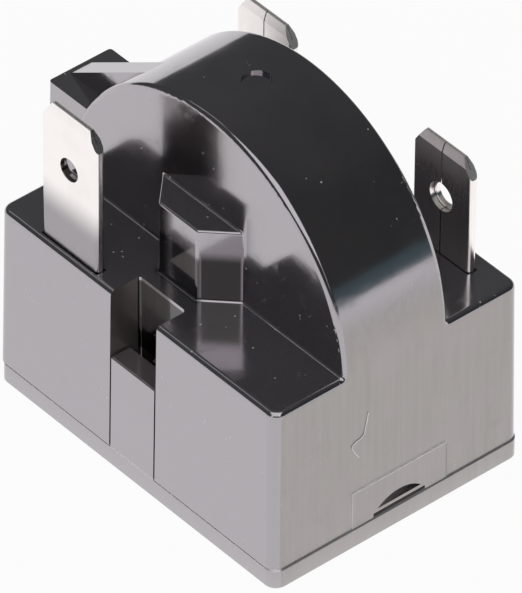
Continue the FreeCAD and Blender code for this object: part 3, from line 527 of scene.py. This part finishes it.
def fine_dust(n, right, amount):
    """Specks of dust in scattered patches, fewer on the right wall."""
    speck = n.add("ShaderNodeTexVoronoi", feature="F1")
    speck.inputs["Scale"].default_value = 1500.0
    n.link(n.place(), speck.inputs["Vector"])
    dots = n.fall(speck.outputs["Distance"], 0.06, 0.16)
    patches = n.rise(n.noise(420.0, detail=2.0), 0.56, 0.62)
    kept = n.math("SUBTRACT", 1.0, n.times(right, 0.9))
    return n.times(dots, patches, amount, kept)


def top_dust_and_light(n):
    """A pale film on the ledges and the boss, which look up, but not on the dome: a thin film of
    dust, and painted light that makes these faces brighter.
    """
    height = n.split(n.place())[Z]
    low_down = n.span(height, *FILM_FADE, 0.8, 0.0)
    return n.times(n.facing(Z, 0.55, 0.95), low_down)


def cover_paleness(n):
    """The cover is a touch paler than the walls above the parting line, most at its foot."""
    height = n.split(n.place())[Z]
    rise = n.span(height, 0.4 * MM, COVER_TOP - 0.05 * MM, 0.24, 0.06)
    return n.times(rise, n.span(height, COVER_TOP - 0.1 * MM, COVER_TOP - 0.04 * MM, 1.0, 0.0))


def painted_edge_highlights(n):
    """Painted highlights: pale along the top and front of the latch pad, and a little less along
    the parting line.
    """
    return n.most(
        n.patch(PAD_TOP_EDGE),
        n.times(n.patch(PAD_FRONT_EDGE), 0.8),
        n.times(n.patch(FRONT_SEAM), 0.6),
        n.times(n.patch(SIDE_SEAM), 0.3),
    )


def skin_color(n, settings, right, cloud, streaks):
    """Black with a brown cast in places, and the painted sheen of the right wall, streaked and
    blotched.
    """
    cast = n.rise(cloud, 0.35, 0.7)
    polished = n.mix(cast, opaque(settings.color), BROWN_CAST)
    drawn = n.span(streaks, 0.3, 0.75, 0.0, 1.0)
    # Painted sheen on the right wall: a pale, warm colour for its bright reflection, streaked
    # along the drawn lines
    sheen = n.mix(drawn, opaque(settings.sheen), shade(settings.sheen, 0.93))
    return n.mix(right, polished, n.mix(cast, sheen, PAINTED_SHEEN_BLOTCH))


def plastic(name, settings):
    """Glossy black moulding: polished walls, a drawn satin right wall, dust and faint wear, with
    painted sheen, shade, light and highlights.
    """
    n = Nodes(name)
    n.shader.inputs["IOR"].default_value = settings.index
    n.shader.inputs["Specular IOR Level"].default_value = 1.0
    n.shader.inputs["Specular Tint"].default_value = opaque(settings.tint)
    n.shader.inputs["Coat Weight"].default_value = 1.0
    n.shader.inputs["Coat Roughness"].default_value = 0.05
    n.shader.inputs["Coat IOR"].default_value = 1.5

    right = n.facing(X, 0.925, 0.99)
    cloud = n.noise(160.0, detail=4.0, roughness=0.6)
    streaks = n.grain(DRAWN_LINES)
    smear = n.grain(WIPE_MARKS, detail=3.0, turn=WIPE_TURN)
    painted_shade = painted_shade_places(n)
    dust = fine_dust(n, right, settings.dust)
    edge_highlights = painted_edge_highlights(n)

    # Colour, from the skin outwards
    # Painted shade where the moulding sees only its own dark walls
    shaded_skin = n.mix(painted_shade, skin_color(n, settings, right, cloud, streaks), DEEP_SHADE)
    # A thin film of dust and painted light on the faces that look up, below the dome
    dusted_and_lit = n.mix(top_dust_and_light(n), shaded_skin, TOP_DUST_AND_LIGHT)
    # The cover paler than the walls above it, most at its foot
    paled = n.mix(cover_paleness(n), dusted_and_lit, COVER_PALE_TONE)
    dusty = n.mix(dust, paled, DUST_GREY)
    # Painted highlights along the edges of the latch pad and the parting line
    n.finish("Base Color", n.mix(edge_highlights, dusty, PAINTED_HIGHLIGHT_GREY))
    # Metal share: 0.6 on the right wall, which carries its painted sheen, and full where shade is
    # painted, so that with the dark colour it darkens the reflection there
    n.finish("Metallic", n.most(n.times(right, 0.6), painted_shade))

    # Roughness: polished walls and the satin right wall, dull where they are wiped or dusty, and
    # along the edges of the latch pad and the parting line
    walls = n.span(cloud, 0.3, 0.75, settings.gloss * 0.8, settings.gloss * 1.35)
    satin = n.span(streaks, 0.25, 0.75, settings.satin * 0.75, settings.satin * 1.3)
    wiped = n.span(smear, 0.55, 0.8, 0.0, 0.12, smooth=True)
    rubbed = n.times(n.most(edge_highlights, n.patch(PAD_REAR_EDGE)), 0.5)
    n.finish("Roughness", n.plus(n.blend(right, walls, satin), wiped, rubbed, n.times(dust, 0.4)))

    # Bump: the slow waves of a sink-marked wall, a fine skin, and drawn lines on the right
    skin = n.bump(n.noise(1900.0, roughness=0.55), 0.12, 0.02 * MM)
    waves = n.grain(WALL_WAVES, detail=1.0, roughness=0.4)
    slow = n.bump(waves, 0.25, 0.35 * MM, skin)
    lines = n.times(streaks, n.plus(n.times(right, 0.5), 0.05))
    n.finish("Normal", n.bump(lines, 0.55, 0.03 * MM, slow))
    return n.material


# The finishes of the metal and ceramic pieces, and of the lint


def blade_plating(name, settings):
    """Silvery plated strip with a faint rolling grain along the blade and a dull edge."""
    n = Nodes(name)
    base = opaque(settings.plate)
    n.shader.inputs["Metallic"].default_value = 1.0
    grain = n.grain(BLADE_GRAIN)
    cloud = n.noise(320.0, detail=4.0, roughness=0.6)
    place = n.split(n.place())

    front_tab = n.span(place[Y], *FRONT_OF_DISC, 1.0, 0.0)
    # Painted shade at the foot of the front tab, for the dark housing that the plating reflects
    # there
    foot_shade = n.times(n.fall(place[Z], *FOOT_SHADE_HEIGHT), front_tab, 0.95)
    toned = n.mix(n.span(cloud, 0.4, 0.75, 0.0, 0.5, smooth=True), base, shade(base, 0.93))
    foot_shaded = n.mix(foot_shade, toned, PAINTED_FOOT_SHADE)
    # The wall of the front tab's hole is painted in shade, as it sees only the dark dome.
    n.finish("Base Color", n.mix(n.patch(TAB_HOLE), foot_shaded, HOLE_SHADE))

    # The sheared tip and corners are coarser than the rolled faces, and the rear tabs are duller
    # towards their tips.
    roughness = settings.plate_roughness
    rolled = n.span(grain, 0.25, 0.75, roughness * 0.85, roughness * 1.2)
    clouded = n.span(cloud, 0.5, 0.8, 0.0, 0.06)
    handled = n.times(n.patch(REAR_TAB_ENDS, soft=2.0 * MM), 0.16)
    sheared = n.times(n.facing(Z, 0.5, 0.8), 0.4)
    n.finish("Roughness", n.plus(rolled, clouded, handled, sheared))
    slow = n.bump(n.noise(260.0, detail=2.0), 0.2, 0.06 * MM)
    n.finish("Normal", n.bump(grain, 0.05, 0.01 * MM, slow))
    return n.material


def strip_metal(name, color, roughness, grain_scale, tarnish):
    """Bare rolled strip: directional grain, cloudy tarnish and small pits."""
    n = Nodes(name)
    n.shader.inputs["Metallic"].default_value = 1.0
    grain = n.grain(grain_scale)
    cloud = n.noise(420.0, detail=4.0, roughness=0.62)
    tarnished = n.span(cloud, 0.42, 0.72, 0.0, 0.75, smooth=True)
    n.finish("Base Color", n.mix(tarnished, opaque(color), tarnish))
    rolled = n.span(grain, 0.25, 0.75, roughness * 0.75, roughness * 1.35)
    n.finish("Roughness", n.plus(rolled, n.span(cloud, 0.45, 0.8, 0.0, 0.15)))
    pits = n.bump(n.noise(3200.0, detail=2.0), 0.2, 0.02 * MM)
    n.finish("Normal", n.bump(grain, 0.3, 0.01 * MM, pits))
    return n.material


def ceramic(name, settings):
    """Pressed dark ceramic with a printed silver electrode on its two flat faces."""
    n = Nodes(name)
    flat = n.rise(n.math("ABSOLUTE", n.normal()[Y]), 0.9, 0.97)
    place = n.split(n.place())
    across = n.math("POWER", place[X], 2.0)
    up = n.math("POWER", n.math("SUBTRACT", place[Z], DISC_MIDDLE), 2.0)
    radius = n.math("SQRT", n.plus(across, up))
    printed = n.times(flat, n.fall(radius, *PRINT_EDGE))
    grit = n.noise(2600.0, detail=4.0, roughness=0.6)
    cloud = n.noise(300.0, roughness=0.55)
    body = n.mix(grit, opaque(settings.color), shade(settings.color, 1.6))
    silver = n.mix(cloud, opaque(settings.silvering), shade(settings.silvering, 0.75))
    n.finish("Base Color", n.mix(printed, body, silver))
    n.finish("Roughness", n.span(grit, 0.3, 0.7, 0.45, 0.75))
    n.finish("Normal", n.bump(grit, 0.4, 0.03 * MM))
    return n.material


def lint(name, settings):
    """Pale glossy lint with slight changes of tone along it."""
    n = Nodes(name)
    n.shader.inputs["Metallic"].default_value = 0.7
    color = settings.fibre_color
    tone = n.noise(900.0)
    n.finish("Base Color", n.mix(tone, opaque(color), shade(color, 0.85)))
    n.finish("Roughness", n.span(tone, 0.3, 0.7, 0.4, 0.6))
    n.finish("Normal", n.bump(n.noise(9000.0), 0.4, 0.01 * MM))
    return n.material


def dress(node_names, material):
    """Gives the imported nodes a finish, in every material slot that they have."""
    for name in node_names:
        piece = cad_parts[name]
        if not piece.material_slots:
            piece.data.materials.append(material)
        for slot in piece.material_slots:
            slot.material = material


# The lint fibre


def on_right_wall(back, up, proud):
    """A point over the drafted right wall, which leans in above the cover."""
    return Vector((RIGHT_WALL - (up - COVER_TOP) * math.tan(DRAFT) + proud, back, up))


def smooth_line(points, steps=6):
    """Points along a smooth curve that passes through all the given ones."""
    line = []
    for index in range(len(points) - 1):
        before = points[max(index - 1, 0)]
        start, end = points[index], points[index + 1]
        after = points[min(index + 2, len(points) - 1)]
        for step in range(steps):
            t = step / steps
            line.append(0.5 * (
                2 * start + (end - before) * t
                + (2 * before - 5 * start + 4 * end - after) * t ** 2
                + (3 * start - before - 3 * end + after) * t ** 3
            ))
    line.append(points[-1])
    return line


def thread(name, line, radius, material, sides=6):
    """A thin round thread along a line, closed at both ends."""
    form = bmesh.new()
    rings = []
    for index, point in enumerate(line):
        along = line[min(index + 1, len(line) - 1)] - line[max(index - 1, 0)]
        side = along.cross(Vector((1.0, 0.0, 0.0))).normalized()
        over = side.cross(along).normalized()
        ring = []
        for corner in range(sides):
            angle = 2 * math.pi * corner / sides
            outward = side * math.cos(angle) + over * math.sin(angle)
            ring.append(form.verts.new(point + outward * radius))
        rings.append(ring)
    for first, second in zip(rings, rings[1:]):
        for corner in range(sides):
            following = (corner + 1) % sides
            form.faces.new((first[corner], first[following], second[following], second[corner]))
    form.faces.new(list(reversed(rings[0])))
    form.faces.new(rings[-1])
    bmesh.ops.recalc_face_normals(form, faces=form.faces)
    return place_mesh(name, form, material)


def place_mesh(name, form, material):
    """Ends a bmesh as an object of its own in the scene."""
    mesh = bpy.data.meshes.new(name)
    form.to_mesh(mesh)
    form.free()
    mesh.materials.append(material)
    piece = bpy.data.objects.new(name, mesh)
    bpy.context.scene.collection.objects.link(piece)
    return piece


# The stage


def floor_paint(color):
    """Pale paint that shows as white to the camera and in reflections, and keeps the shadow."""
    n = Nodes("floor_paint")
    n.shader.inputs["Base Color"].default_value = color
    n.shader.inputs["Roughness"].default_value = 0.9
    glow = n.add("ShaderNodeEmission")
    glow.inputs["Strength"].default_value = 1.0
    path = n.add("ShaderNodeLightPath")
    rays = [path.outputs[f"Is {kind} Ray"] for kind in ("Camera", "Glossy", "Transmission")]
    share = n.times(n.math("MINIMUM", n.plus(*rays), 1.0), FLOOR_GLOW_SHARE)
    mixed = n.add("ShaderNodeMixShader")
    n.link(share, mixed.inputs["Fac"])
    n.link(n.shader.outputs["BSDF"], mixed.inputs[1])
    n.link(glow.outputs["Emission"], mixed.inputs[2])
    n.link(mixed.outputs["Shader"], n.tree.nodes["Material Output"].inputs["Surface"])
    return n.material


def make_floor(color):
    """The plain floor, just under the relay."""
    form = bmesh.new()
    bmesh.ops.create_grid(form, x_segments=1, y_segments=1, size=FLOOR_HALF)
    floor = place_mesh("floor", form, floor_paint(color))
    floor.location.z = cad_low[Z] - FLOOR_GAP


def soft_light(name, place, size, power, color=(1.0, 1.0, 1.0)):
    """A rectangular lamp that looks at the middle of the relay."""
    light = bpy.data.lights.new(name, "AREA")
    light.shape = "RECTANGLE"
    light.size, light.size_y = size
    light.energy = power
    light.color = color
    lamp = bpy.data.objects.new(name, light)
    lamp.location = place
    lamp.rotation_mode = "QUATERNION"
    lamp.rotation_quaternion = (Vector(LAMP_AIM) - Vector(place)).to_track_quat("-Z", "Y")
    bpy.context.scene.collection.objects.link(lamp)


def make_lights():
    """One large softbox, and faint strips and a card that draw lines along the edges."""
    soft_light("overhead_softbox", place=(0.5, -0.45, 1.2), size=(1.7, 1.7), power=10.0)
    soft_light("right_strip", place=(0.62, -0.12, 0.36), size=(0.1, 0.4), power=0.08)
    soft_light("left_strip", place=(-0.4, -0.12, 0.56), size=(0.1, 0.3), power=0.05)
    soft_light(
        "far_card", place=(0.7, 0.4, 0.075), size=(0.6, 0.12), power=0.022, color=CARD_COLOR
    )


def make_world(context):
    """A faint cool sky, a little brighter on the left than on the right."""
    world = bpy.data.worlds.new("studio")
    world.use_nodes = True
    tree = world.node_tree
    background = tree.nodes["Background"]
    background.inputs["Color"].default_value = SKY_COLOR
    direction = tree.nodes.new("ShaderNodeTexCoord")
    parts = tree.nodes.new("ShaderNodeSeparateXYZ")
    ramp = tree.nodes.new("ShaderNodeMapRange")
    set_span(ramp, SKY_SPAN, SKY_STRENGTH)
    tree.links.new(direction.outputs["Generated"], parts.inputs["Vector"])
    tree.links.new(parts.outputs["X"], ramp.inputs["Value"])
    tree.links.new(ramp.outputs["Result"], background.inputs["Strength"])
    context.scene.world = world


def make_camera(context, settings):
    """The camera, from its two angles, its roll and its distance to the target."""
    cos_e, sin_e = math.cos(settings.elevation), math.sin(settings.elevation)
    cos_a, sin_a = math.cos(settings.azimuth), math.sin(settings.azimuth)
    forward = Vector((-sin_a * cos_e, cos_a * cos_e, -sin_e))
    right = Vector((cos_a, sin_a, 0.0))
    up = right.cross(forward)
    cos_r, sin_r = math.cos(settings.roll), math.sin(settings.roll)
    side = right * cos_r + up * sin_r
    over = up * cos_r - right * sin_r
    place = Vector(settings.target) - forward * settings.distance
    data = bpy.data.cameras.new("camera")
    data.sensor_fit = "HORIZONTAL"
    data.sensor_width = 36.0
    data.lens = settings.lens
    data.clip_start = 0.05
    data.clip_end = 5.0
    camera = bpy.data.objects.new("camera", data)
    context.scene.collection.objects.link(camera)
    matrix = camera.matrix_world.copy()
    for row in range(3):
        for column, axis in enumerate((side, over, -forward, place)):
            matrix[row][column] = axis[row]
    camera.matrix_world = matrix
    context.scene.camera = camera


# One operator for each piece or group of like pieces, and one for the stage


class RELAY_OT_housing(Operator):
    """Give the housing its glossy black finish"""

    bl_idname = "relay.housing"
    bl_label = "Dress Housing"

    def execute(self, context):
        dress(HOUSING_NODES, plastic("housing_black", context.scene.relay_plastic))
        return {"FINISHED"}


class RELAY_OT_cover(Operator):
    """Give the base cover its glossy black finish"""

    bl_idname = "relay.cover"
    bl_label = "Dress Base Cover"

    def execute(self, context):
        dress(COVER_NODES, plastic("cover_black", context.scene.relay_plastic))
        return {"FINISHED"}


class RELAY_OT_blades(Operator):
    """Plate the two terminals and their folded blade tabs"""

    bl_idname = "relay.blades"
    bl_label = "Plate Terminals"

    def execute(self, context):
        dress(BLADE_NODES, blade_plating("blade_plating", context.scene.relay_metal))
        return {"FINISHED"}


class RELAY_OT_sockets(Operator):
    """Give the rolled pin sockets their bare brass"""

    bl_idname = "relay.sockets"
    bl_label = "Finish Pin Sockets"

    def execute(self, context):
        color = context.scene.relay_metal.brass
        brass = strip_metal("rolled_brass", color, 0.28, SOCKET_GRAIN, BRASS_TARNISH)
        dress(BRASS_NODES, brass)
        return {"FINISHED"}


class RELAY_OT_springs(Operator):
    """Give the leaf springs and spring rings their bright steel"""

    bl_idname = "relay.springs"
    bl_label = "Finish Springs"

    def execute(self, context):
        color = context.scene.relay_metal.spring
        steel = strip_metal("spring_steel", color, 0.26, SPRING_GRAIN, STEEL_TARNISH)
        dress(SPRING_NODES, steel)
        return {"FINISHED"}


class RELAY_OT_rivets(Operator):
    """Give the set rivets their plain metal"""

    bl_idname = "relay.rivets"
    bl_label = "Finish Rivets"

    def execute(self, context):
        color = context.scene.relay_metal.rivet
        metal = strip_metal("rivet_metal", color, 0.32, RIVET_GRAIN, RIVET_TARNISH)
        dress(RIVET_NODES, metal)
        return {"FINISHED"}


class RELAY_OT_ceramic(Operator):
    """Give the start resistor disc its ceramic and printed electrodes"""

    bl_idname = "relay.ceramic"
    bl_label = "Finish Ceramic Disc"

    def execute(self, context):
        dress(CERAMIC_NODES, ceramic("pressed_ceramic", context.scene.relay_ceramic))
        return {"FINISHED"}


class RELAY_OT_wear(Operator):
    """Lay the lint fibre on the right wall"""

    bl_idname = "relay.wear"
    bl_label = "Add Lint Fibre"

    def execute(self, context):
        settings = context.scene.relay_wear
        radius = settings.fibre_width / 2
        line = smooth_line([on_right_wall(back, up, radius) for back, up in FIBRE_PATH])
        fibre = thread("lint_fibre", line, radius, lint("lint_fibre", settings))
        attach(fibre, "root")
        return {"FINISHED"}


class RELAY_OT_stage(Operator):
    """Set the pale floor, the soft studio lights and the camera"""

    bl_idname = "relay.stage"
    bl_label = "Set Stage"

    def execute(self, context):
        settings = context.scene.relay_stage
        make_floor(opaque(settings.floor_color))
        make_lights()
        make_world(context)
        make_camera(context, settings)
        context.scene.view_settings.view_transform = "Standard"
        return {"FINISHED"}


# Each box of the sidebar: its title, its settings and its operators
PANEL_ROWS = (
    ("Mouldings", "relay_plastic", ("relay.housing", "relay.cover")),
    (
        "Metal",
        "relay_metal",
        ("relay.blades", "relay.sockets", "relay.springs", "relay.rivets"),
    ),
    ("Ceramic", "relay_ceramic", ("relay.ceramic",)),
    ("Wear", "relay_wear", ("relay.wear",)),
    ("Stage", "relay_stage", ("relay.stage",)),
)


class RELAY_PT_sidebar(Panel):
    """Lists the sizes, colours and pieces of the start relay"""

    bl_idname = "RELAY_PT_sidebar"
    bl_label = "Start Relay"
    bl_space_type = "VIEW_3D"
    bl_region_type = "UI"
    bl_category = "Start Relay"

    def draw(self, context):
        for title, group, operators in PANEL_ROWS:
            box = self.layout.box()
            box.label(text=title)
            settings = getattr(context.scene, group)
            for name in settings.bl_rna.properties.keys():
                if name not in {"rna_type", "name"}:
                    box.prop(settings, name)
            for operator in operators:
                box.operator(operator)


GROUPS = {
    "relay_plastic": RelayPlasticSettings,
    "relay_metal": RelayMetalSettings,
    "relay_ceramic": RelayCeramicSettings,
    "relay_wear": RelayWearSettings,
    "relay_stage": RelayStageSettings,
}

CLASSES = (
    *GROUPS.values(),
    RELAY_OT_housing,
    RELAY_OT_cover,
    RELAY_OT_blades,
    RELAY_OT_sockets,
    RELAY_OT_springs,
    RELAY_OT_rivets,
    RELAY_OT_ceramic,
    RELAY_OT_wear,
    RELAY_OT_stage,
    RELAY_PT_sidebar,
)


def register():
    for item in CLASSES:
        bpy.utils.register_class(item)
    for name, group in GROUPS.items():
        setattr(bpy.types.Scene, name, PointerProperty(type=group))


def unregister():
    for name in GROUPS:
        delattr(bpy.types.Scene, name)
    for item in reversed(CLASSES):
        bpy.utils.unregister_class(item)


def main():
    register()
    bpy.ops.relay.housing()
    bpy.ops.relay.cover()
    bpy.ops.relay.blades()
    bpy.ops.relay.sockets()
    bpy.ops.relay.springs()
    bpy.ops.relay.rivets()
    bpy.ops.relay.ceramic()
    bpy.ops.relay.wear()
    bpy.ops.relay.stage()


if __name__ == "__main__":
    main()
